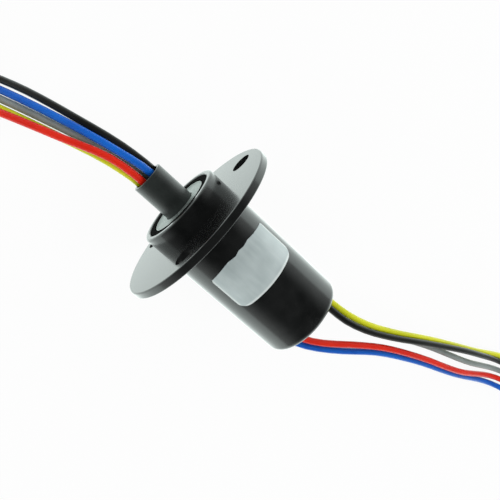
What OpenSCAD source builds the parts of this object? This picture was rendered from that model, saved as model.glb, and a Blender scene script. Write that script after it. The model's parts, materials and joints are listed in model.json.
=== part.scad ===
// Capsule slip ring with a mounting flange.
// The rotation axis is X, with the rotor leads towards +X. The origin is the
// centre of the flange's back face, which seats on the machine.

/* [Housing] */
// Diameter of the barrel and of the boss in front of the flange
body_d = 22; // [21.6:0.1:24]
// Length of the barrel behind the flange
body_len = 36.2; // [34:0.2:42]
// Height of the boss in front of the flange
boss_len = 5; // [4.6:0.1:7]
// Wall thickness of the barrel
wall = 1.8; // [1.6:0.1:1.9]
// Radius of the barrel's rear edge
rear_round = 1.6; // [0.6:0.1:1.6]
// Radius of the boss's front edge
boss_round = 0.6; // [0.3:0.1:0.8]
// Width of the bevel at the mouth of the boss
boss_bevel = 0.25; // [0.1:0.05:0.3]

/* [Flange] */
// Diameter of the flange
flange_d = 44.5; // [42:0.5:50]
// Thickness of the flange
flange_t = 2; // [1.6:0.1:3]
// Radius of the flange's two edges
flange_round = 0.35; // [0.1:0.05:0.5]
// Number of fixing holes
hole_count = 3; // [2:1:6]
// Diameter of the fixing holes
hole_d = 5.3; // [4.3:0.1:5.5]
// Diameter of the circle that the fixing holes lie on
hole_pcd = 35; // [32:0.5:36]
// Turn of the first hole from the top
hole_turn = 22.5; // [0:0.5:60]

/* [Front bearing] */
// Outer diameter of the front bearing
fb_od = 19; // [18.6:0.1:19.2]
// Bore of the front bearing, and diameter of the rotor tube
fb_id = 8; // [7.8:0.1:8.4]
// Width of the front bearing
fb_w = 6; // [5:0.5:6]
// Diameter of the front bearing's balls
fb_ball = 3; // [2.6:0.1:3.2]
// Number of balls in the front bearing
fb_balls = 8; // [6:1:9]
// Thickness of the retaining ring
clip_t = 1; // [0.8:0.1:1.2]
// Depth of the retaining ring's face behind the boss's face
clip_set = 0.2; // [0.1:0.05:0.4]
// Width of the retaining ring that shows inside the bore
clip_show = 1.65; // [1.3:0.05:1.8]
// Depth of the retaining ring's groove
clip_groove = 0.5; // [0.3:0.05:0.5]

/* [Rear bearing] */
// Outer diameter of the rear bearing
rb_od = 7; // [6.6:0.1:7]
// Bore of the rear bearing, and diameter of the rotor's rear journal
rb_id = 3; // [2.8:0.1:3.2]
// Width of the rear bearing
rb_w = 3; // [2:0.5:3.5]
// Diameter of the rear bearing's balls
rb_ball = 1.2; // [1:0.1:1.3]
// Number of balls in the rear bearing
rb_balls = 7; // [5:1:8]

/* [Rotor] */
// Length of the rotor tube in front of the boss
tube_out = 9.5; // [8:0.5:9.5]
// Bore of the rotor tube
tube_bore = 6.6; // [6.5:0.1:6.8]
// Depth of the potting's face behind the tube's mouth
pot_set = 0.5; // [0.5:0.1:1]
// Diameter of the collar that seats on the front bearing
collar_d = 10.4; // [9.6:0.2:10.6]
// Diameter of the core that carries the contact rings
core_d = 9; // [8.8:0.1:9.4]

/* [Contact rings] */
// Diameter of the contact rings
ring_d = 11.8; // [11.2:0.1:12]
// Width of a contact ring
ring_w = 2.2; // [1.8:0.1:2.6]
// Thickness of the insulating barriers between the rings
barrier_t = 1.2; // [0.8:0.1:1.4]
// Diameter of the insulating barriers
barrier_d = 14; // [13:0.2:14.2]
// Depth of the brush groove in a contact ring
groove_depth = 0.4; // [0.2:0.05:0.5]
// Diameter of a brush wire
brush_d = 0.4; // [0.3:0.05:0.5]

/* [Brush blocks] */
// Distance from the axis to a brush block's inner face
block_in = 7.5; // [7.4:0.1:7.8]
// Height of a brush block
block_h = 6; // [5:0.2:7]

/* [Rear cap] */
// Thickness of the rear cap
cap_t = 4; // [4:0.2:5]
// Depth of the rear cap's face behind the barrel's end
cap_set = 0.2; // [0.1:0.05:0.6]
// Length of a lead opening, across the cap
slot_w = 4.5; // [4:0.1:4.5]
// Height of a lead opening
slot_h = 6; // [5.8:0.1:6]
// Distance from the axis to the middle of a lead opening
slot_off = 6.25; // [6.25:0.05:6.35]

/* [Label] */
// Length of the label along the barrel
label_len = 11.5; // [8:0.5:14]
// Width of the label around the barrel
label_w = 20.4; // [14:0.2:22]
// Thickness of the label
label_t = 0.1; // [0.05:0.01:0.2]
// Distance from the flange to the label
label_x = 8; // [4:0.5:12]
// Turn of the label's middle from the top
label_turn = -9; // [-30:1:30]
// Radius of the label's corners
label_round = 2; // [1:0.25:3]

/* [Leads] */
// Diameter of a lead over its insulation
lead_d = 1.8; // [1.6:0.1:1.8]
// Space from one turn of a lead coil to the next
lane = 1.9; // [1.85:0.01:2]
// Radius of a lead coil at the middle of its turns
coil_r = 10.8; // [10:0.1:11.4]
// Width of the twist ties
tie_w = 3; // [2:0.5:4]
// Thickness of the twist ties
tie_t = 0.4; // [0.3:0.05:0.5]

/* [Hidden] */
$fn = 64;
body_r = body_d / 2;
boss_x = flange_t + boss_len;
bore_r = body_r - wall;
run_gap = 0.05;

// Front bearing: it seats against a shoulder, and the retaining ring holds it
clip_x = boss_x - clip_set - clip_t;
fb_x = clip_x - fb_w;
fb_r = fb_od / 2;
shoulder_t = 1;
shoulder_r = fb_r - 1;
race_part = 0.27;

// Rear bearing: it seats in a pocket in the rear cap
cap_x = -body_len + cap_set;
cap_in = cap_x + cap_t;
rb_x = cap_in - rb_w;
pot_x = cap_x + 0.2;

// Rotor
tube_r = fb_id / 2;
mouth_x = boss_x + tube_out;
pot_front = mouth_x - pot_set;
pot_t = 1.5;
collar_t = 1.2;
collar_x = fb_x - collar_t;

// Contact rings and barriers, stacked on the core behind the collar
circuits = 5;
pitch = ring_w + barrier_t;
stack_x = collar_x - barrier_t - ring_w;
stack_len = circuits * pitch + barrier_t;
core_end = stack_x - stack_len - 1;
neck_r = rb_id / 2 + 0.7;

// Brushes: wires that run tangent to the groove of each ring
touch_r = ring_d / 2 - groove_depth + brush_d / 2 + 0.03;
brush_root = norm([block_in, 1]);
brush_turn = acos(touch_r / brush_root) + atan(1 / block_in);
brush_len = sqrt(brush_root * brush_root - touch_r * touch_r);
brush_over = 0.8;

// The surface that the leads lie on, as low as the flange
floor_z = -flange_d / 2;
lay_z = floor_z + tie_t + lead_d / 2;
coil_in = coil_r - 2 * lane - lead_d / 2 - 0.05;
coil_out = coil_r + 2 * lane + lead_d / 2 + 0.05;

// Colours of the five leads, and each one's lane in its coil, outermost first
colours = ["#1b1c1e", "#0b55b4", "#7e868a", "#d6cf1c", "#d21a10"];
rotor_lane = [4, 3, 2, 1, 0];
stator_lane = [3, 0, 2, 4, 1];
rotor_turns = [2.05, 2.35, 2.8, 3.4, 4.3];
stator_turns = [1.55, 1.8, 2.15, 2.65, 3.4];

// Routes of the leads: black, blue, grey, yellow, red
rotor_x = [pot_front, 25, 36, 48, 58, 66];
rotor_y = [
    [-2.2, -1.5, 0.8, 3.9, 7.6, 10.6],
    [-1.35, 0, 2.6, 6.2, 9.8, 12.6],
    [0, 1.3, 4.4, 8.2, 11.9, 14.6],
    [2.2, 3.3, 6.4, 10.3, 14, 16.6],
    [1.35, 2.2, 6.3, 11, 15.6, 18.6]
];
rotor_z = [
    [-0.7, -1.3, -3.7, -9.2, -16.3, lay_z],
    [1.85, 0.6, -2.8, -8.7, -16.3, lay_z],
    [-2.3, -2.8, -4.9, -9.9, -16.5, lay_z],
    [-0.7, -1.5, -4.2, -9.9, -16.8, lay_z],
    [1.85, 0.7, -2.2, -7.8, -15.6, lay_z]
];
rotor_coil = [81.4, 8.7];
rotor_way = 20;
rotor_hand = -1;

stator_x = [pot_x, -40, -46, -53, -62, -76, -93, -116];
stator_y = [
    [-6.1, -6.2, -6.6, -8.3, -11.9, -18.6, -26, -32.6],
    [6.8, 6.2, 3.7, -0.3, -5.9, -11.7, -17.1, -25],
    [-6.4, -6.5, -7, -8.8, -11.8, -17.2, -22.4, -30.1],
    [-7.5, -7.6, -8.2, -9.8, -13.2, -19.5, -26.3, -35.1],
    [5, 4.3, 1.5, -3, -8.1, -13.5, -18.7, -27.6]
];
stator_z = [
    [1, 0.8, 0.3, -0.9, -3, -6.9, -11.9, lay_z],
    [-0.2, -0.5, -1.1, -2.2, -4.2, -8.2, -13.2, lay_z],
    [-2, -2.2, -2.8, -4.1, -6.1, -9, -13, lay_z],
    [-0.3, -0.4, -1.1, -2.4, -4.7, -8.9, -14.4, lay_z],
    [0.6, 0.3, -0.3, -1.4, -3.4, -7.3, -12.2, lay_z]
];
stator_coil = [-130.2, -42.7];
stator_way = 200;
stator_hand = 1;

// ---- Helpers -------------------------------------------------------------

// Stands children, drawn upright, along the rotation axis from x
module along(x) {
    translate([x, 0, 0])
        rotate([0, 90, 0])
            children();
}

// A plain ring from r1 to r2, from x over the length len
module tube_ring(x, len, r1, r2) {
    along(x)
        difference() {
            cylinder(h = len, r = r2);
            translate([0, 0, -1])
                cylinder(h = len + 2, r = r1);
        }
}

// A profile step from x0 to x1 out to radius r, its corners rounded by c0 and c1
module step(x0, x1, r, c0 = 0, c1 = 0) {
    square_r = r - max(c0, c1);
    translate([0, x0])
        square([square_r, x1 - x0]);
    translate([0, x0 + c0])
        square([r, x1 - x0 - c0 - c1]);
    if (c0 > 0)
        translate([r - c0, x0 + c0])
            corner(c0);
    if (c1 > 0)
        translate([r - c1, x1 - c1])
            corner(c1);
    if (c0 < max(c0, c1))
        translate([0, x0])
            square([r - c0, x1 - x0 - c1]);
    if (c1 < max(c0, c1))
        translate([0, x0 + c0])
            square([r - c1, x1 - x0 - c0]);
}

// A round corner, kept on the outer side of the axis
module corner(r) {
    circle(r = r);
}

// An outline with round corners, centred
module round_outline(w, h, r) {
    square([w - 2 * r, h], center = true);
    square([w, h - 2 * r], center = true);
    for (sx = [-1, 1], sy = [-1, 1])
        translate([sx * (w / 2 - r), sy * (h / 2 - r)])
            circle(r = r, $fn = 32);
}

// ---- Housing and caps ----------------------------------------------------

module housing() {
    color("#1a1b1c")
        difference() {
            rotate([0, 90, 0])
                rotate_extrude($fn = 128) {
                    step(-body_len, 0.5, body_r, rear_round, 0);
                    step(0.5, boss_x, body_r, 0, boss_round);
                    step(0, flange_t, flange_d / 2, flange_round, flange_round);
                }
            along(-body_len - 1)
                cylinder(h = body_len + 1 + fb_x - shoulder_t, r = bore_r);
            along(fb_x - shoulder_t - 1)
                cylinder(h = shoulder_t + 2, r = shoulder_r);
            along(fb_x)
                cylinder(h = boss_x - fb_x + 1, r = fb_r);
            along(clip_x)
                cylinder(h = clip_t, r = fb_r + clip_groove);
            along(boss_x - boss_bevel)
                rotate_extrude($fn = 128)
                    polygon([
                        [0, 0], [fb_r, 0], [fb_r + 2 * boss_bevel, 2 * boss_bevel],
                        [0, 2 * boss_bevel]
                    ]);
            for (k = [0 : hole_count - 1])
                rotate([-(hole_turn + k * 360 / hole_count), 0, 0])
                    translate([-1, 0, hole_pcd / 2])
                        rotate([0, 90, 0])
                            cylinder(h = flange_t + 2, r = hole_d / 2);
        }
}

// The two openings that the stator leads come out of
module lead_openings(x, len, gap = 0) {
    for (side = [-1, 1])
        translate([x, side * slot_off, 0])
            rotate([0, 90, 0])
                linear_extrude(height = len)
                    round_outline(slot_h - 2 * gap, slot_w - 2 * gap, 1.2);
}

module rear_cap() {
    color("#151617")
        difference() {
            along(cap_x)
                cylinder(h = cap_t, r = bore_r);
            along(rb_x)
                cylinder(h = rb_w + 1, r = rb_od / 2);
            along(rb_x - 0.4)
                cylinder(h = 1, r = rb_id / 2 + 0.6);
            lead_openings(cap_x - 1, cap_t + 2);
        }
}

module exit_potting() {
    color("#0e0f10")
        lead_openings(pot_x, cap_in - pot_x);
}

module label() {
    chord = 2 * (body_r + label_t) * sin(label_w / body_r * 90 / PI);
    color("#c9cfcd")
        intersection() {
            tube_ring(-label_x - label_len - 1, label_len + 2, body_r,
                body_r + label_t);
            rotate([-label_turn, 0, 0])
                translate([-label_x - label_len / 2, 0, 0])
                    linear_extrude(height = body_r + 1)
                        label_outline(label_len, chord);
        }
}

// The label's front edge was cut by hand, so it bows a little
module label_outline(len, w) {
    difference() {
        round_outline(len, w, label_round);
        translate([len / 2, -w / 2])
            polygon([
                [0, 0], [-1.1, 0.1], [-0.5, w * 0.22], [-0.1, w * 0.32],
                [-0.3, w * 0.42], [0, w * 0.5], [-0.35, w * 0.58],
                [0, w * 0.7], [-0.3, w * 0.8], [-1, w * 0.98], [0, w], [1, w],
                [1, 0]
            ]);
    }
}

// ---- Front bearing -------------------------------------------------------

// The retaining ring is open at the bottom, with an ear at each end
module retaining_ring() {
    in_r = fb_r - clip_show;
    ear_r = 1.1;
    ear_at = fb_r - clip_show + 0.2;
    ear_turn = 13;
    color("#101112")
        along(clip_x)
            linear_extrude(height = clip_t)
                difference() {
                    union() {
                        difference() {
                            circle(r = fb_r + clip_groove, $fn = 96);
                            circle(r = in_r, $fn = 96);
                            polygon([
                                [0, 0],
                                [14 * cos(ear_turn), 14 * sin(ear_turn)],
                                [14 * cos(ear_turn), -14 * sin(ear_turn)]
                            ]);
                        }
                        for (side = [-1, 1])
                            rotate(side * (ear_turn + 7))
                                translate([ear_at, 0])
                                    circle(r = ear_r, $fn = 32);
                    }
                    for (side = [-1, 1])
                        rotate(side * (ear_turn + 7))
                            translate([ear_at, 0])
                                circle(r = 0.5, $fn = 24);
                }
}

// One race, with its ball groove, as a turned ring
module race(x, w, r1, r2, pitch_r, ball) {
    along(x)
        rotate_extrude($fn = 96)
            difference() {
                translate([r1, 0])
                    square([r2 - r1, w]);
                translate([pitch_r, w / 2])
                    circle(r = ball / 2 + run_gap, $fn = 48);
            }
}

module balls(x, w, pitch_r, ball, count) {
    along(x + w / 2)
        for (k = [0 : count - 1])
            rotate(k * 360 / count)
                translate([pitch_r, 0, 0])
                    sphere(r = ball / 2, $fn = 48);
}

module cage(x, w, pitch_r, ball, count) {
    along(x + w / 2)
        difference() {
            cylinder(h = ball * 1.1, r = pitch_r + ball * 0.18, center = true);
            cylinder(h = ball * 2, r = pitch_r - ball * 0.18, center = true);
            for (k = [0 : count - 1])
                rotate(k * 360 / count)
                    translate([pitch_r, 0, 0])
                        sphere(r = ball / 2 + 0.03, $fn = 48);
        }
}

// Radii of a bearing's parts, from its bore and its outer diameter
function pitch_of(id, od) = (id + od) / 4;
function inner_of(id, od) = id / 2 + (od - id) / 2 * race_part;
function outer_of(id, od) = od / 2 - (od - id) / 2 * race_part;
fb_pitch = pitch_of(fb_id, fb_od);
rb_pitch = pitch_of(rb_id, rb_od);

module shields(x, w, id, od) {
    t = w * 0.04;
    for (at = [x + t, x + w - 2 * t])
        tube_ring(at, t, inner_of(id, od) + 0.12, outer_of(id, od));
}

module front_outer_race() {
    color("#b9bfbc")
        race(fb_x, fb_w, outer_of(fb_id, fb_od), fb_r, fb_pitch, fb_ball);
}

module front_inner_race() {
    color("#b9bfbc")
        race(fb_x, fb_w, tube_r, inner_of(fb_id, fb_od), fb_pitch, fb_ball);
}

module front_balls() {
    color("#d0d4d6")
        balls(fb_x, fb_w, fb_pitch, fb_ball, fb_balls);
}

module front_cage() {
    color("#a8895a")
        cage(fb_x, fb_w, fb_pitch, fb_ball, fb_balls);
}

module front_shields() {
    color("#b9bfbc")
        shields(fb_x, fb_w, fb_id, fb_od);
}

// ---- Rear bearing --------------------------------------------------------

module rear_outer_race() {
    color("#b9bfbc")
        race(rb_x, rb_w, outer_of(rb_id, rb_od), rb_od / 2, rb_pitch, rb_ball);
}

module rear_inner_race() {
    color("#b9bfbc")
        race(rb_x, rb_w, rb_id / 2, inner_of(rb_id, rb_od), rb_pitch, rb_ball);
}

module rear_balls() {
    color("#d0d4d6")
        balls(rb_x, rb_w, rb_pitch, rb_ball, rb_balls);
}

module rear_cage() {
    color("#a8895a")
        cage(rb_x, rb_w, rb_pitch, rb_ball, rb_balls);
}

module rear_shields() {
    color("#b9bfbc")
        shields(rb_x, rb_w, rb_id, rb_od);
}

// ---- Rotor ---------------------------------------------------------------

module rotor_shaft() {
    mouth_round = 0.25;
    color("#232526")
        difference() {
            rotate([0, 90, 0])
                rotate_extrude($fn = 96) {
                    step(collar_x - 0.5, mouth_x, tube_r, 0, mouth_round);
                    step(collar_x, fb_x, collar_d / 2, 0.2, 0);
                    step(core_end, collar_x + 0.1, core_d / 2, 0.3, 0);
                    step(cap_in, core_end + 0.1, neck_r);
                    step(rb_x + 0.1, cap_in + 0.1, rb_id / 2);
                }
            along(core_end + 4)
                cylinder(h = mouth_x - core_end, r = tube_bore / 2);
            for (k = [0 : circuits - 1])
                rotate([k * 360 / circuits + 36, 0, 0])
                    translate([stack_x + 0.2, 0, 0])
                        cylinder(h = core_d, r = 0.9, $fn = 32);
        }
}

module tube_potting() {
    color("#0c0d0e")
        along(pot_front - pot_t)
            cylinder(h = pot_t, r = tube_bore / 2);
}

// Contact ring k, counted from the front
module contact_ring(k) {
    x = stack_x - k * pitch;
    color("#d8a84a")
        along(x)
            rotate_extrude($fn = 96)
                difference() {
                    translate([core_d / 2, 0])
                        square([ring_d / 2 - core_d / 2, ring_w]);
                    translate([ring_d / 2 - groove_depth, ring_w / 2 - 0.35])
                        square([1, 0.7]);
                }
}

module barrier(k) {
    x = stack_x - k * pitch + ring_w;
    color("#3a3f42")
        tube_ring(x, barrier_t, core_d / 2, barrier_d / 2);
}

module contact_ring_1() { contact_ring(0); }
module contact_ring_2() { contact_ring(1); }
module contact_ring_3() { contact_ring(2); }
module contact_ring_4() { contact_ring(3); }
module contact_ring_5() { contact_ring(4); }
module barrier_1() { barrier(0); }
module barrier_2() { barrier(1); }
module barrier_3() { barrier(2); }
module barrier_4() { barrier(3); }
module barrier_5() { barrier(4); }
module barrier_6() { barrier(5); }

// ---- Brushes -------------------------------------------------------------

module brush_block(side) {
    front_x = stack_x + ring_w + 1;
    color("#6b4a2a")
        intersection() {
            translate([cap_in, side > 0 ? block_in : -bore_r, -block_h / 2])
                cube([front_x - cap_in, bore_r - block_in, block_h]);
            along(cap_in)
                cylinder(h = front_x - cap_in, r = bore_r);
        }
}

module brush_block_left() { brush_block(-1); }
module brush_block_right() { brush_block(1); }

// The four wires of circuit k: two from each block, one above and one below
module brush_set(k) {
    x = stack_x - k * pitch + ring_w / 2;
    color("#e2c46e")
        for (side = [0, 180], up = [0, 1])
            rotate([side, 0, 0])
                mirror([0, 0, up])
                    rotate([brush_turn, 0, 0])
                        translate([x, touch_r, -brush_len - 0.7])
                            cylinder(h = brush_len + 0.7 + brush_over,
                                r = brush_d / 2, $fn = 24);
}

module brush_set_1() { brush_set(0); }
module brush_set_2() { brush_set(1); }
module brush_set_3() { brush_set(2); }
module brush_set_4() { brush_set(3); }
module brush_set_5() { brush_set(4); }

// ---- Leads ---------------------------------------------------------------

// Radius of lane k in a coil, lane 0 outermost
function lane_r(k) = coil_r + (2 - k) * lane;

// Where lane k of the coil at c begins, for a lead that runs in direction way.
// A coil that winds to the left has hand 1, and one to the right has hand -1.
function lane_start(c, way, hand, k) = [
    c.x + hand * lane_r(k) * sin(way), c.y - hand * lane_r(k) * cos(way), lay_z
];

// A lead's whole route, up to its coil
function route(xs, ys, zs, c, way, hand, k) = concat(
    [for (i = [0 : len(xs) - 1]) [xs[i], ys[i], zs[i]]],
    [lane_start(c, way, hand, k)]
);

function unit(v) = v / norm(v);
function tangent(p, i) = i == 0 ? [sign(p[1].x - p[0].x), 0, 0]
    : i == len(p) - 1 ? unit(p[i] - p[i - 1])
    : unit(unit(p[i + 1] - p[i]) + unit(p[i] - p[i - 1]));

// A tube of diameter d with eight sides along the points p
module sweep(p, d) {
    sides = 8;
    n = len(p);
    rings = [for (i = [0 : n - 1])
        let (t = tangent(p, i), u = unit(cross([0, 0, 1], t)), v = cross(t, u))
        for (j = [0 : sides - 1])
            let (a = 360 * j / sides)
            p[i] + d / 2 * (cos(a) * u + sin(a) * v)];
    faces = concat(
        [[for (j = [0 : sides - 1]) sides - 1 - j]],
        [for (i = [0 : n - 2], j = [0 : sides - 1])
            let (a = i * sides + j, b = i * sides + (j + 1) % sides)
            for (f = [[a, b, b + sides], [a, b + sides, a + sides]]) f],
        [[for (j = [0 : sides - 1]) (n - 1) * sides + j]]
    );
    polyhedron(points = rings, faces = faces);
}

module rotor_lead(k) {
    color(colours[k])
        sweep(route(rotor_x, rotor_y[k], rotor_z[k], rotor_coil, rotor_way,
            rotor_hand, rotor_lane[k]), lead_d);
}

module stator_lead(k) {
    color(colours[k])
        sweep(route(stator_x, stator_y[k], stator_z[k], stator_coil,
            stator_way, stator_hand, stator_lane[k]), lead_d);
}

// The outer shape of a coil: the inner lanes hold more turns, so it is higher there
module lead_coil(c, turns) {
    in_h = lead_d + turns[4] * 1.85;
    out_h = lead_d + turns[0] * 1.85;
    color("#4a4d50")
        translate([c.x, c.y, floor_z + tie_t])
            rotate_extrude($fn = 72)
                polygon([
                    [coil_in, 0], [coil_out, 0], [coil_out, out_h],
                    [coil_out - lane, out_h + 0.4], [coil_in + lane, in_h],
                    [coil_in, in_h]
                ]);
}

// A flat tie round the coil's section, with its twisted ends on top
module lead_tie(c, turns, at) {
    in_h = lead_d + turns[4] * 1.85;
    w = coil_out - coil_in + 0.3;
    h = in_h + tie_t;
    color("#1d1e20")
        translate([c.x, c.y, floor_z])
            rotate(at)
                translate([coil_in - 0.15, 0, 0]) {
                    difference() {
                        translate([-tie_t, -tie_w / 2, 0])
                            cube([w + 2 * tie_t, tie_w, h + tie_t]);
                        translate([0, -tie_w / 2 - 1, tie_t])
                            cube([w, tie_w + 2, h - tie_t]);
                    }
                    translate([w * 0.45, 0, h + tie_t])
                        cylinder(h = 2.2, r = 0.7, $fn = 24);
                }
}

module rotor_lead_black() { rotor_lead(0); }
module rotor_lead_blue() { rotor_lead(1); }
module rotor_lead_grey() { rotor_lead(2); }
module rotor_lead_yellow() { rotor_lead(3); }
module rotor_lead_red() { rotor_lead(4); }
module rotor_lead_coil() { lead_coil(rotor_coil, rotor_turns); }
module rotor_lead_tie() { lead_tie(rotor_coil, rotor_turns, 60); }
module stator_lead_black() { stator_lead(0); }
module stator_lead_blue() { stator_lead(1); }
module stator_lead_grey() { stator_lead(2); }
module stator_lead_yellow() { stator_lead(3); }
module stator_lead_red() { stator_lead(4); }
module stator_lead_coil() { lead_coil(stator_coil, stator_turns); }
module stator_lead_tie() { lead_tie(stator_coil, stator_turns, 250); }

// ---- Drawing -------------------------------------------------------------

housing();
rear_cap();
exit_potting();
label();
retaining_ring();
front_outer_race();
front_inner_race();
front_balls();
front_cage();
front_shields();
rear_outer_race();
rear_inner_race();
rear_balls();
rear_cage();
rear_shields();
rotor_shaft();
tube_potting();
contact_ring_1();
contact_ring_2();
contact_ring_3();
contact_ring_4();
contact_ring_5();
barrier_1();
barrier_2();
barrier_3();
barrier_4();
barrier_5();
barrier_6();
brush_block_left();
brush_block_right();
brush_set_1();
brush_set_2();
brush_set_3();
brush_set_4();
brush_set_5();
rotor_lead_black();
rotor_lead_blue();
rotor_lead_grey();
rotor_lead_yellow();
rotor_lead_red();
rotor_lead_coil();
rotor_lead_tie();
stator_lead_black();
stator_lead_blue();
stator_lead_grey();
stator_lead_yellow();
stator_lead_red();
stator_lead_coil();
stator_lead_tie();
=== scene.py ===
# Slip ring: materials, the free leads, the bearing's cover, and a plain
# studio around the CAD frame. Metres, in the part's own frame: +X along the
# rotation axis towards the rotor tube, +Z up, and the origin at the centre of
# the flange's back face. Lengths named below are in millimetres, and are
# turned into metres by MM.
import json
import math

import bpy
from mathutils import Matrix, Vector


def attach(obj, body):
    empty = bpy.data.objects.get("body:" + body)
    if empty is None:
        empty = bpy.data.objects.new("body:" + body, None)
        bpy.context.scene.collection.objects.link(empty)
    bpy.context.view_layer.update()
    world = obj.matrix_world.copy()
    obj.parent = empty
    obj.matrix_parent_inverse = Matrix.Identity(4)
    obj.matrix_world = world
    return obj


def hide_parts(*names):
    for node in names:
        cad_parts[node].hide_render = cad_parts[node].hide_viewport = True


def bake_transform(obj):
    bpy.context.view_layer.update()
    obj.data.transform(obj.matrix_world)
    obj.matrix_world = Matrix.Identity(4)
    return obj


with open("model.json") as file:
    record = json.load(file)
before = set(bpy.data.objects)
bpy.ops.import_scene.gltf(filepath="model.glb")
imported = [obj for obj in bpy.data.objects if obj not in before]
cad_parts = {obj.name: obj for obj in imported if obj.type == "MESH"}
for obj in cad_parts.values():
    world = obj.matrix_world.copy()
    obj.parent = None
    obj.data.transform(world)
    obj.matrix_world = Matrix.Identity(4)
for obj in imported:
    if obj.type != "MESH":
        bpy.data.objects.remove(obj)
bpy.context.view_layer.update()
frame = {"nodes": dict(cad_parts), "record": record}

MM = 0.001
FLOOR_Z = -22.25


# ---- Camera --------------------------------------------------------------

cam_data = bpy.data.cameras.new("camera")
cam_data.lens = 45.5
cam_data.sensor_width = 36
camera = bpy.data.objects.new("camera", cam_data)
bpy.context.scene.collection.objects.link(camera)
CAM_PLACE = Vector((36.5, -3.5, 144.9)) * MM
CAM_TILT = math.radians(19.1)
CAM_ROLL = math.radians(-137.7)
camera.matrix_world = (
    Matrix.Translation(CAM_PLACE)
    @ Matrix.Rotation(CAM_TILT, 4, "Y")
    @ Matrix.Rotation(CAM_ROLL, 4, "Z")
)
bpy.context.scene.camera = camera


# ---- Material helpers ----------------------------------------------------

def new_material(name):
    mat = bpy.data.materials.new(name)
    mat.use_nodes = True
    tree = mat.node_tree
    return mat, tree, tree.nodes["Principled BSDF"]


def noise(tree, scale, detail=3.0, stretch=(1, 1, 1)):
    coord = tree.nodes.new("ShaderNodeTexCoord")
    place = tree.nodes.new("ShaderNodeMapping")
    place.inputs["Scale"].default_value = stretch
    tex = tree.nodes.new("ShaderNodeTexNoise")
    tex.inputs["Scale"].default_value = scale
    tex.inputs["Detail"].default_value = detail
    tree.links.new(coord.outputs["Object"], place.inputs["Vector"])
    tree.links.new(place.outputs["Vector"], tex.inputs["Vector"])
    return tex.outputs["Fac"]


def ramp(tree, source, low, high, at=(0.35, 0.65)):
    node = tree.nodes.new("ShaderNodeValToRGB")
    node.color_ramp.elements[0].position = at[0]
    node.color_ramp.elements[1].position = at[1]
    node.color_ramp.elements[0].color = (*low, 1)
    node.color_ramp.elements[1].color = (*high, 1)
    tree.links.new(source, node.inputs["Fac"])
    return node.outputs["Color"]


def spread(tree, source, low, high):
    node = tree.nodes.new("ShaderNodeMapRange")
    node.inputs["To Min"].default_value = low
    node.inputs["To Max"].default_value = high
    tree.links.new(source, node.inputs["Value"])
    return node.outputs["Result"]


def bump(tree, shader, source, strength, depth):
    node = tree.nodes.new("ShaderNodeBump")
    node.inputs["Strength"].default_value = strength
    node.inputs["Distance"].default_value = depth
    tree.links.new(source, node.inputs["Height"])
    tree.links.new(node.outputs["Normal"], shader.inputs["Normal"])


def surface(name, low, high, rough, metal=0.0, scale=600, fine=5000,
            grain=0.15, depth=0.00002, ior=1.5, stretch=(1, 1, 1), coat=0.0):
    """A material whose colour, gloss and surface all vary a little."""
    mat, tree, shader = new_material(name)
    broad = noise(tree, scale, 4.0, stretch)
    small = noise(tree, fine, 2.0, stretch)
    tree.links.new(ramp(tree, broad, low, high), shader.inputs["Base Color"])
    tree.links.new(spread(tree, broad, rough[0], rough[1]),
                   shader.inputs["Roughness"])
    bump(tree, shader, small, grain, depth)
    shader.inputs["Metallic"].default_value = metal
    shader.inputs["IOR"].default_value = ior
    shader.inputs["Coat Weight"].default_value = coat
    shader.inputs["Coat Roughness"].default_value = 0.12
    return mat


def shade(value):
    return (value, value, value)


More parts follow.
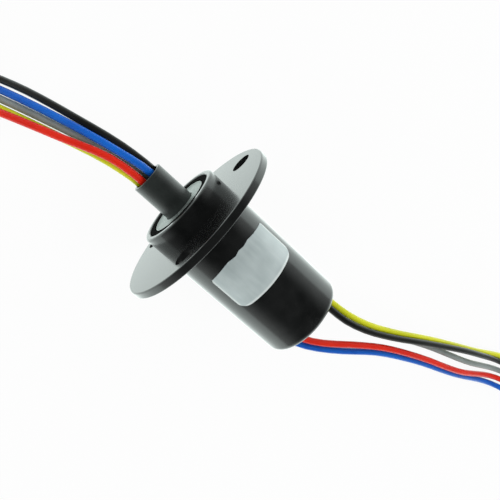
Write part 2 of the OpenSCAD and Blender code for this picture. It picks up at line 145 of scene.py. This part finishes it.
BLACK_LOW = (0.006, 0.0065, 0.0065)
BLACK_HIGH = (0.012, 0.0125, 0.0125)
LEAD_COLOURS = {
    "black": ((0.006, 0.006, 0.005), (0.014, 0.014, 0.013)),
    "blue": ((0.002, 0.085, 0.48), (0.004, 0.13, 0.60)),
    "grey": ((0.22, 0.245, 0.235), (0.30, 0.33, 0.32)),
    "yellow": ((0.60, 0.62, 0.01), (0.72, 0.72, 0.02)),
    "red": ((0.68, 0.012, 0.003), (0.80, 0.022, 0.005)),
}
SLOTS = {
    "housing": surface("housing_plastic", BLACK_LOW, BLACK_HIGH, (0.14, 0.21),
                       scale=250, grain=0.02, fine=1400, depth=0.00001,
                       ior=1.56),
    "rear_cap": surface("cap_plastic", BLACK_LOW, BLACK_HIGH, (0.35, 0.5),
                        grain=0.3),
    "potting": surface("potting_resin", (0.004, 0.004, 0.005),
                       (0.010, 0.010, 0.012), (0.12, 0.3), scale=400,
                       grain=0.5, depth=0.00008, ior=1.55),
    # retaining ring: very dark and almost glossless, partly its own black
    # finish, partly painted shade for the recess round the bearing
    "retaining_ring": surface("black_steel_with_painted_shade", (0.003, 0.003, 0.003),
                              (0.006, 0.006, 0.006), (0.6, 0.75),
                              grain=0.3, ior=1.03),
    "bearing_steel": surface("bearing_steel", (0.20, 0.225, 0.215),
                             (0.27, 0.295, 0.285), (0.42, 0.55), metal=0.75,
                             grain=0.1, fine=9000, depth=0.00001),
    "bearing_balls": surface("polished_steel", shade(0.60), shade(0.68),
                             (0.06, 0.1), metal=1.0, grain=0.02),
    "bearing_cage": surface("cage_brass", (0.50, 0.36, 0.17),
                            (0.60, 0.45, 0.22), (0.25, 0.4), metal=1.0),
    "rotor_shaft": surface("rotor_plastic", (0.020, 0.024, 0.0225),
                           (0.030, 0.035, 0.033), (0.28, 0.38), scale=300,
                           grain=0.2, depth=0.00001, ior=1.56),
    "contact_gold": surface("gold_plate", (0.78, 0.50, 0.16),
                            (0.88, 0.60, 0.24), (0.12, 0.2), metal=1.0,
                            stretch=(6, 1, 1), grain=0.1),
    "barrier": surface("barrier_plastic", shade(0.018), shade(0.03),
                       (0.4, 0.55), grain=0.3),
    "brush_block": surface("laminate", (0.12, 0.06, 0.025),
                           (0.19, 0.10, 0.04), (0.45, 0.6), scale=900,
                           stretch=(1, 6, 1), grain=0.4),
    "brush_wire": surface("gold_alloy", (0.72, 0.52, 0.22),
                          (0.82, 0.62, 0.30), (0.15, 0.25), metal=1.0),
    "twist_tie": surface("coated_tie", shade(0.012), shade(0.022),
                         (0.4, 0.55), grain=0.4, fine=3000),
}
for colour, (low, high) in LEAD_COLOURS.items():
    SLOTS["lead_" + colour] = surface(
        "insulation_" + colour, low, high, (0.3, 0.42), scale=180, fine=2600,
        grain=0.25, depth=0.00002, stretch=(0.3, 1, 1), ior=1.36)
SLOTS["lead_coil"] = SLOTS["lead_grey"]


def math_node(tree, kind, *values):
    node = tree.nodes.new("ShaderNodeMath")
    node.operation = kind
    for socket, value in zip(node.inputs, values):
        if isinstance(value, (int, float)):
            socket.default_value = value
        else:
            tree.links.new(value, socket)
    return node.outputs["Value"]


def smooth_step(tree, value, low, high):
    node = tree.nodes.new("ShaderNodeMapRange")
    node.interpolation_type = "SMOOTHSTEP"
    node.inputs["From Min"].default_value = low
    node.inputs["From Max"].default_value = high
    tree.links.new(value, node.inputs["Value"])
    return node.outputs["Result"]


def mix_colour(tree, factor, a, b):
    node = tree.nodes.new("ShaderNodeMix")
    node.data_type = "RGBA"
    for socket, value in (("Factor", factor), ("A", a), ("B", b)):
        if isinstance(value, (int, float)):
            node.inputs[socket].default_value = value
        elif isinstance(value, tuple):
            node.inputs[socket].default_value = (*value, 1)
        else:
            tree.links.new(value, node.inputs[socket])
    return node.outputs["Result"]


BARREL_D = 22
LABEL_X = (-19.5, -8.0)
LABEL_ARC = 20.4
LABEL_TURN = math.radians(-9)
LABEL_HALF = LABEL_ARC / BARREL_D   # radians each way from its middle


def label_material():
    """Silver-grey film: a faint brushed grain, a pale border, and a paler
    patch that is a painted highlight.
    """
    mat, tree, shader = new_material("label_film")
    grain = noise(tree, 900, 4.0, (0.12, 1, 1))
    cloud = noise(tree, 260, 2.0)
    base = mix_colour(
        tree, 0.4,
        ramp(tree, grain, (0.42, 0.49, 0.50), (0.55, 0.62, 0.62),
             (0.25, 0.75)),
        ramp(tree, cloud, (0.45, 0.51, 0.51), (0.62, 0.68, 0.68),
             (0.3, 0.7)))
    coord = tree.nodes.new("ShaderNodeTexCoord")
    split = tree.nodes.new("ShaderNodeSeparateXYZ")
    tree.links.new(coord.outputs["Object"], split.inputs["Vector"])
    x, y, z = (split.outputs[axis] for axis in "XYZ")
    # u and v run from -1 to 1 along and around the label
    middle = (LABEL_X[0] + LABEL_X[1]) / 2 * MM
    half = (LABEL_X[1] - LABEL_X[0]) / 2 * MM
    u = math_node(tree, "DIVIDE", math_node(tree, "SUBTRACT", x, middle),
                  half)
    turn = math_node(tree, "SUBTRACT", math_node(tree, "ARCTAN2", y, z),
                     LABEL_TURN)
    v = math_node(tree, "DIVIDE", turn, LABEL_HALF)
    edge_u = smooth_step(tree, math_node(tree, "MULTIPLY", u, -1.0),
                         0.88, 0.95)
    edge_v = smooth_step(tree, math_node(tree, "ABSOLUTE", v), 0.93, 0.98)
    border = math_node(tree, "MULTIPLY",
                       math_node(tree, "MAXIMUM", edge_u, edge_v), 0.75)
    # a painted highlight: a slightly paler patch towards the -Y end, where the
    # film catches a reflection
    from_highlight_centre = math_node(
        tree, "ADD",
        math_node(tree, "POWER", math_node(tree, "ADD", v, 0.68), 2.0),
        math_node(tree, "MULTIPLY",
                  math_node(tree, "POWER",
                            math_node(tree, "ADD", u, 0.1), 2.0), 0.12))
    # the painted highlight's strength, at most a tenth of the way to
    # near-white
    painted_highlight = math_node(tree, "MULTIPLY",
                      smooth_step(tree, from_highlight_centre, 0.10, 0.01), 0.1)
    with_painted_highlight = mix_colour(tree, painted_highlight, base, (0.80, 0.84, 0.84))
    tree.links.new(mix_colour(tree, border, with_painted_highlight, (0.82, 0.86, 0.85)),
                   shader.inputs["Base Color"])
    shader.inputs["Metallic"].default_value = 0.1
    tree.links.new(spread(tree, cloud, 0.36, 0.5),
                   shader.inputs["Roughness"])
    bump(tree, shader, cloud, 0.25, 0.0001)
    return mat


SLOTS["label"] = label_material()
tinned = surface("tinned_strands", shade(0.55), shade(0.70), (0.25, 0.4),
                 metal=1.0, scale=3000, stretch=(0.4, 1, 1), grain=0.6,
                 depth=0.00005)

# Every CAD node takes the material of its slot
slot_of = {s["node"]: s["material_slot"] for s in frame["record"]["subparts"]}
for node, obj in frame["nodes"].items():
    material = SLOTS[slot_of[node]]
    obj.data.materials.clear()
    obj.data.materials.append(material)


# ---- Leads ---------------------------------------------------------------

LEAD_D = 1.8
LEAD_LEN = 250.0
BARE_LEN = 6.0
BARE_D = 1.0
TIE_T = 0.4
LAY_Z = FLOOR_Z + TIE_T + LEAD_D / 2
LANE = 1.9
COIL_R = 10.8
RISE = 1.85
POT_FRONT = 16.0
POT_REAR = -35.8
COLOURS = list(LEAD_COLOURS)
STEP_LEN = 3.6                    # between a lead's points where it is free
STEP_TURN = math.radians(15)      # and in its coil
CLIMB = (40, 280)                 # degrees of a turn in which it climbs
COVER_SIDES, BARE_SIDES = 14, 10

# Each end's leads: the routes' points as x, y and z, then the coil's centre,
# the direction in which leads come to it, its hand, and each lead's lane
ENDS = {
    "rotor": {
        "x": [POT_FRONT, 25, 36, 48, 58, 66],
        "y": [
            [-2.2, -1.5, 0.8, 3.9, 7.6, 10.6],
            [-1.35, 0, 2.6, 6.2, 9.8, 12.6],
            [0, 1.3, 4.4, 8.2, 11.9, 14.6],
            [2.2, 3.3, 6.4, 10.3, 14, 16.6],
            [1.35, 2.2, 6.3, 11, 15.6, 18.6],
        ],
        "z": [
            [-0.7, -1.3, -3.7, -9.2, -16.3, LAY_Z],
            [1.85, 0.6, -2.8, -8.7, -16.3, LAY_Z],
            [-2.3, -2.8, -4.9, -9.9, -16.5, LAY_Z],
            [-0.7, -1.5, -4.2, -9.9, -16.8, LAY_Z],
            [1.85, 0.7, -2.2, -7.8, -15.6, LAY_Z],
        ],
        "coil": (81.4, 8.7), "way": 20, "hand": -1,
        "lanes": [4, 3, 2, 1, 0],
    },
    "stator": {
        "x": [POT_REAR, -40, -46, -53, -62, -76, -93, -116],
        "y": [
            [-6.1, -6.2, -6.6, -8.3, -11.9, -18.6, -26, -32.6],
            [6.8, 6.2, 3.7, -0.3, -5.9, -11.7, -17.1, -25],
            [-6.4, -6.5, -7, -8.8, -11.8, -17.2, -22.4, -30.1],
            [-7.5, -7.6, -8.2, -9.8, -13.2, -19.5, -26.3, -35.1],
            [5, 4.3, 1.5, -3, -8.1, -13.5, -18.7, -27.6],
        ],
        "z": [
            [1, 0.8, 0.3, -0.9, -3, -6.9, -11.9, LAY_Z],
            [-0.2, -0.5, -1.1, -2.2, -4.2, -8.2, -13.2, LAY_Z],
            [-2, -2.2, -2.8, -4.1, -6.1, -9, -13, LAY_Z],
            [-0.3, -0.4, -1.1, -2.4, -4.7, -8.9, -14.4, LAY_Z],
            [0.6, 0.3, -0.3, -1.4, -3.4, -7.3, -12.2, LAY_Z],
        ],
        "coil": (-130.2, -42.7), "way": 200, "hand": 1,
        "lanes": [3, 0, 2, 4, 1],
    },
}


def smooth(points, first, last, per):
    """A curve through the points, in steps of about the length per."""
    count = len(points)
    times = [0.0]
    for a, b in zip(points, points[1:]):
        times.append(times[-1] + (b - a).length)
    slopes = []
    for i in range(count):
        if i == 0:
            slopes.append(first.normalized())
        elif i == count - 1:
            slopes.append(last.normalized())
        else:
            before = (points[i] - points[i - 1]) / (times[i] - times[i - 1])
            after = (points[i + 1] - points[i]) / (times[i + 1] - times[i])
            slope = (before + after) / 2
            if abs(before.z) < 1e-6 or abs(after.z) < 1e-6:
                slope.z = 0  # it lies flat from here on
            slopes.append(slope)
    out = []
    for i in range(count - 1):
        span = times[i + 1] - times[i]
        steps = max(2, round(span / per))
        for j in range(steps):
            t = j / steps
            h00 = 2 * t ** 3 - 3 * t ** 2 + 1
            h10 = t ** 3 - 2 * t ** 2 + t
            h01 = -2 * t ** 3 + 3 * t ** 2
            h11 = t ** 3 - t ** 2
            out.append(points[i] * h00 + slopes[i] * (h10 * span)
                       + points[i + 1] * h01 + slopes[i + 1] * (h11 * span))
    out.append(points[-1])
    return out


def eased(t):
    """0 below 0, 1 above 1, and a smooth rise between."""
    t = min(1, max(0, t))
    return t * t * (3 - 2 * t)


def lane_radius(k):
    return COIL_R + (2 - k) * LANE


def coil_points(centre, way, hand, k, length):
    """One lane of a coil: each turn lies flat, then climbs onto the last."""
    r = lane_radius(k)
    total = length / r
    steps = max(12, math.ceil(total / STEP_TURN))
    out = []
    for i in range(1, steps + 1):
        turn = total * i / steps
        whole = math.floor(turn / math.tau)
        part = math.degrees(turn - whole * math.tau)
        climb = eased((part - CLIMB[0]) / (CLIMB[1] - CLIMB[0]))
        a = math.radians(way) + hand * (turn - math.pi / 2)
        out.append(Vector((centre[0] + r * math.cos(a),
                           centre[1] + r * math.sin(a),
                           LAY_Z + RISE * (whole + climb))))
    return out


def lead_path(end, k):
    data = ENDS[end]
    c, way, lane = data["coil"], math.radians(data["way"]), data["lanes"][k]
    r = lane_radius(lane)
    points = [Vector((x, data["y"][k][i], data["z"][k][i]))
              for i, x in enumerate(data["x"])]
    hand = data["hand"]
    points.append(Vector((c[0] + hand * r * math.sin(way),
                          c[1] - hand * r * math.cos(way), LAY_Z)))
    out_dir = Vector((1 if end == "rotor" else -1, 0, 0))
    in_dir = Vector((math.cos(way), math.sin(way), 0))
    free = smooth(points, out_dir, in_dir, STEP_LEN)
    used = sum((b - a).length for a, b in zip(free, free[1:]))
    return free + coil_points(c, data["way"], hand, lane, LEAD_LEN - used)


def frames_along(points):
    """A frame at each point that doesn't twist from one to the next."""
    count = len(points)
    out = []
    side = None
    for i, p in enumerate(points):
        a = points[max(0, i - 1)]
        b = points[min(count - 1, i + 1)]
        way = (b - a).normalized()
        if side is None:
            side = way.cross(Vector((0, 0, 1))).normalized()
        side = (side - way * side.dot(way)).normalized()
        out.append((p, side, way.cross(side)))
    return out


def add_tube(verts, faces, mats, points, radii, sides, material):
    base = len(verts)
    rows = frames_along(points)
    for (p, u, v), r in zip(rows, radii):
        for j in range(sides):
            a = math.tau * j / sides
            verts.append((p + u * (r * math.cos(a)) + v * (r * math.sin(a)))
                         * MM)
    for i in range(len(rows) - 1):
        for j in range(sides):
            a = base + i * sides + j
            b = base + i * sides + (j + 1) % sides
            faces.append((a, b, b + sides, a + sides))
            mats.append(material)
    last = base + (len(rows) - 1) * sides
    faces.append(tuple(base + sides - 1 - j for j in range(sides)))
    faces.append(tuple(last + j for j in range(sides)))
    mats.extend([material, material])


def cut_at(points, length):
    """The points up to a length along them, and the points from there on."""
    left = length
    for i, (a, b) in enumerate(zip(points, points[1:])):
        step = (b - a).length
        if left <= step:
            mid = a + (b - a) * (left / step)
            return points[:i + 1] + [mid], [mid] + points[i + 1:]
        left -= step
    return points, []


def make_mesh(name, verts, faces, mats, materials):
    mesh = bpy.data.meshes.new(name)
    mesh.from_pydata([tuple(v) for v in verts], [], faces)
    for material in materials:
        mesh.materials.append(material)
    for poly, index in zip(mesh.polygons, mats):
        poly.material_index = index
        poly.use_smooth = len(poly.vertices) == 4
    mesh.update()
    obj = bpy.data.objects.new(name, mesh)
    bpy.context.scene.collection.objects.link(obj)
    return obj


def make_lead(end, k):
    """A lead and its bare end; the first stands for its coil's solid too."""
    path = lead_path(end, k)
    total = sum((b - a).length for a, b in zip(path, path[1:]))
    cover, rest = cut_at(path, total - BARE_LEN)
    verts, faces, mats = [], [], []
    add_tube(verts, faces, mats, cover, [LEAD_D / 2] * len(cover),
             COVER_SIDES, 0)
    bare = [cover[-2] + (cover[-1] - cover[-2]) * 0.5] + rest
    add_tube(verts, faces, mats, bare, [BARE_D / 2] * len(bare),
             BARE_SIDES, 1)
    colour = COLOURS[k]
    name = f"{end}_wire_{colour}"
    obj = make_mesh(name, verts, faces, mats,
                    [SLOTS["lead_" + colour], tinned])
    node = f"{end}_lead_{colour}"
    if end == "rotor":
        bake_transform(obj)
    else:
        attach(obj, "stator")
    if k == 0:
        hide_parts(node, f"{end}_lead_coil")
    else:
        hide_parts(node)


for end in ENDS:
    for k in range(5):
        make_lead(end, k)


TIE_GAP = 0.25
TIE_HALF = 1.3        # half its width
TIE_SINK = 0.6        # how far its inner face lies inside, in thicknesses
TWIST_H = 2.6         # height, radius, turns and steps of the twisted ends
TWIST_R = 0.45
TWIST_TURNS = 2.5
TWIST_STEPS = 24


def make_tie(end, at, turns):
    """A flat strap round the coil's section, its ends twisted on top."""
    data = ENDS[end]
    inner = lane_radius(4) - LEAD_D / 2 - TIE_GAP
    outer = lane_radius(0) + LEAD_D / 2 + TIE_GAP
    top = LAY_Z + RISE * turns + LEAD_D / 2 + 0.1
    low_top = LAY_Z + RISE * turns * 0.5 + LEAD_D / 2 + 0.1
    bottom = FLOOR_Z
    ring = [(inner, bottom), (outer, bottom), (outer + 0.1, bottom + 1),
            (outer + 0.1, low_top - 0.6), (outer - 0.5, low_top + 0.1),
            ((inner + outer) / 2 + 1, (top + low_top) / 2 + 0.7),
            (inner + 1.9, top + 0.1), (inner + 0.2, top),
            (inner - 0.1, top - 0.5), (inner - 0.1, bottom + 1)]
    mid_r = sum(p[0] for p in ring) / len(ring)
    mid_z = sum(p[1] for p in ring) / len(ring)
    a = math.radians(at)
    out = Vector((math.cos(a), math.sin(a), 0))
    along = Vector((-math.sin(a), math.cos(a), 0))
    centre = Vector((*data["coil"], 0))
    verts, faces, mats = [], [], []
    for r, z in ring:
        inward = Vector((mid_r - r, 0, mid_z - z)).normalized() * TIE_T
        for depth in (0, 1):
            for w in (-TIE_HALF, TIE_HALF):
                at_z = max(bottom, z + inward.z * depth * -TIE_SINK)
                verts.append((centre + out * (r + inward.x * depth * -TIE_SINK)
                              + along * w + Vector((0, 0, at_z))) * MM)
    n = len(ring)
    for i in range(n):
        a0, b0 = 4 * i, 4 * ((i + 1) % n)
        for p, q in ((0, 1), (1, 3), (3, 2), (2, 0)):
            faces.append((a0 + p, a0 + q, b0 + q, b0 + p))
            mats.append(0)
    # the twisted ends
    for phase in (0, math.pi):
        points = []
        for i in range(TWIST_STEPS + 1):
            t = i / TWIST_STEPS
            turn = phase + t * math.tau * TWIST_TURNS
            reach = inner + 3.4 + TWIST_R * math.cos(turn)
            points.append(centre + out * reach
                          + along * (TWIST_R * math.sin(turn))
                          + Vector((0, 0, top + 0.1 + TWIST_H * t)))
        add_tube(verts, faces, mats, points, [TIE_T] * len(points), 8, 0)
    obj = make_mesh(f"{end}_coil_tie", verts, faces, mats,
                    [SLOTS["twist_tie"]])
    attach(obj, "stator")
    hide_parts(f"{end}_lead_tie")


make_tie("rotor", 60, 4.1)
make_tie("stator", 250, 3.25)


# ---- Bearing cover -------------------------------------------------------

EAR_HALF = math.radians(28)   # the ring's ears lie within this of -Z
EAR_BLEND = math.radians(6)
EAR_SHARE = 0.75              # how far the cover reaches under the ears


def reach_at(a):
    """Share of the cover's full width at an angle from -Z."""
    return EAR_SHARE + (1 - EAR_SHARE) * eased(
        (abs(a) - EAR_HALF) / EAR_BLEND)


def turned_ring(name, profile, body, slot, steps=144):
    """A closed profile of (x, radius), turned, and narrower at the ears."""
    inner = min(r for _, r in profile)
    verts, faces, mats = [], [], []
    n = len(profile)
    for i in range(steps):
        a = math.tau * i / steps - math.pi
        for x, full in profile:
            r = inner + (full - inner) * reach_at(a)
            verts.append(Vector((x, r * math.sin(a), -r * math.cos(a))) * MM)
    for i in range(steps):
        j = (i + 1) % steps
        for k in range(n):
            m = (k + 1) % n
            faces.append((i * n + k, i * n + m, j * n + m, j * n + k))
            mats.append(0)
    obj = make_mesh(name, verts, faces, mats, [SLOTS[slot]])
    crease = obj.modifiers.new("edges", "EDGE_SPLIT")
    crease.split_angle = math.radians(35)
    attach(obj, body)


# The pressed cover in front of the bearing: a flat web with a rolled rim
turned_ring("bearing_cover", [
    (5.86, 4.12), (6.42, 4.12), (6.50, 4.20), (6.50, 4.65), (6.44, 4.75),
    (6.44, 7.15), (6.52, 7.28), (6.62, 7.36), (6.66, 7.48), (6.64, 7.62),
    (6.52, 7.74), (5.86, 7.74),
], "stator", "bearing_steel")


# ---- Studio --------------------------------------------------------------

def make_floor():
    size = 3.0
    mesh = bpy.data.meshes.new("floor")
    corners = ((-size, -size), (size, -size), (size, size), (-size, size))
    mesh.from_pydata([(x, y, FLOOR_Z * MM) for x, y in corners], [],
                     [(0, 1, 2, 3)])
    floor = bpy.data.objects.new("floor", mesh)
    bpy.context.scene.collection.objects.link(floor)
    mat, tree, shader = new_material("pale_floor")
    shader.inputs["Base Color"].default_value = (0.82, 0.82, 0.82, 1)
    shader.inputs["Roughness"].default_value = 0.9
    shader.inputs["Specular IOR Level"].default_value = 0.1
    path = tree.nodes.new("ShaderNodeLightPath")
    glow = tree.nodes.new("ShaderNodeEmission")
    glossy = path.outputs["Is Glossy Ray"]
    # the camera sees white; glossy surfaces see it brighter, a little green
    tint = mix_colour(tree, glossy, shade(1.0), (0.90, 1.0, 0.97))
    tree.links.new(tint, glow.inputs["Color"])
    tree.links.new(math_node(tree, "MULTIPLY_ADD", glossy, 1.0, 1.0),
                   glow.inputs["Strength"])
    seen = math_node(tree, "MAXIMUM", path.outputs["Is Camera Ray"], glossy)
    mix = tree.nodes.new("ShaderNodeMixShader")
    # what is left over keeps the object's shadow
    tree.links.new(math_node(tree, "MULTIPLY", seen, 0.94), mix.inputs["Fac"])
    tree.links.new(shader.outputs["BSDF"], mix.inputs[1])
    tree.links.new(glow.outputs["Emission"], mix.inputs[2])
    tree.links.new(mix.outputs["Shader"],
                   tree.nodes["Material Output"].inputs["Surface"])
    mesh.materials.append(mat)


make_floor()


def area_light(name, place, target, size, power):
    data = bpy.data.lights.new(name, "AREA")
    data.shape = "RECTANGLE"
    data.size, data.size_y = size
    data.energy = power
    light = bpy.data.objects.new(name, data)
    bpy.context.scene.collection.objects.link(light)
    light.location = place
    aim = Vector(target) - Vector(place)
    light.rotation_euler = aim.to_track_quat("-Z", "Y").to_euler()
    light.visible_glossy = False


area_light("side_soft_left", (-0.05, -0.42, 0.16), (0, 0, 0), (0.6, 0.3), 0.8)
area_light("side_soft_right", (-0.05, 0.42, 0.16), (0, 0, 0), (0.6, 0.3), 0.7)
area_light("front_soft", (0.5, 0.05, 0.3), (0, 0, 0), (0.4, 0.4), 1.0)
area_light("top_soft", (-0.35, -0.1, 0.5), (-0.03, 0, 0), (0.3, 0.3), 1.0)


def make_world():
    """An even pale room; shiny surfaces see its pale walls, dark overhead."""
    world = bpy.data.worlds.new("studio")
    world.use_nodes = True
    bpy.context.scene.world = world
    tree = world.node_tree
    back = tree.nodes["Background"]
    back.inputs["Color"].default_value = (0.94, 1.0, 0.98, 1)
    coord = tree.nodes.new("ShaderNodeTexCoord")
    split = tree.nodes.new("ShaderNodeSeparateXYZ")
    tree.links.new(coord.outputs["Generated"], split.inputs["Vector"])
    wall = tree.nodes.new("ShaderNodeMapRange")
    wall.interpolation_type = "SMOOTHSTEP"
    wall.inputs["From Min"].default_value = 0.0
    wall.inputs["From Max"].default_value = 0.75
    wall.inputs["To Min"].default_value = 0.85
    wall.inputs["To Max"].default_value = 0.03
    tree.links.new(split.outputs["Z"], wall.inputs["Value"])
    path = tree.nodes.new("ShaderNodeLightPath")
    mix = tree.nodes.new("ShaderNodeMix")
    mix.inputs["A"].default_value = 0.42
    tree.links.new(path.outputs["Is Glossy Ray"], mix.inputs["Factor"])
    tree.links.new(wall.outputs["Result"], mix.inputs["B"])
    tree.links.new(mix.outputs["Result"], back.inputs["Strength"])


make_world()

bpy.context.scene.view_settings.view_transform = "Standard"
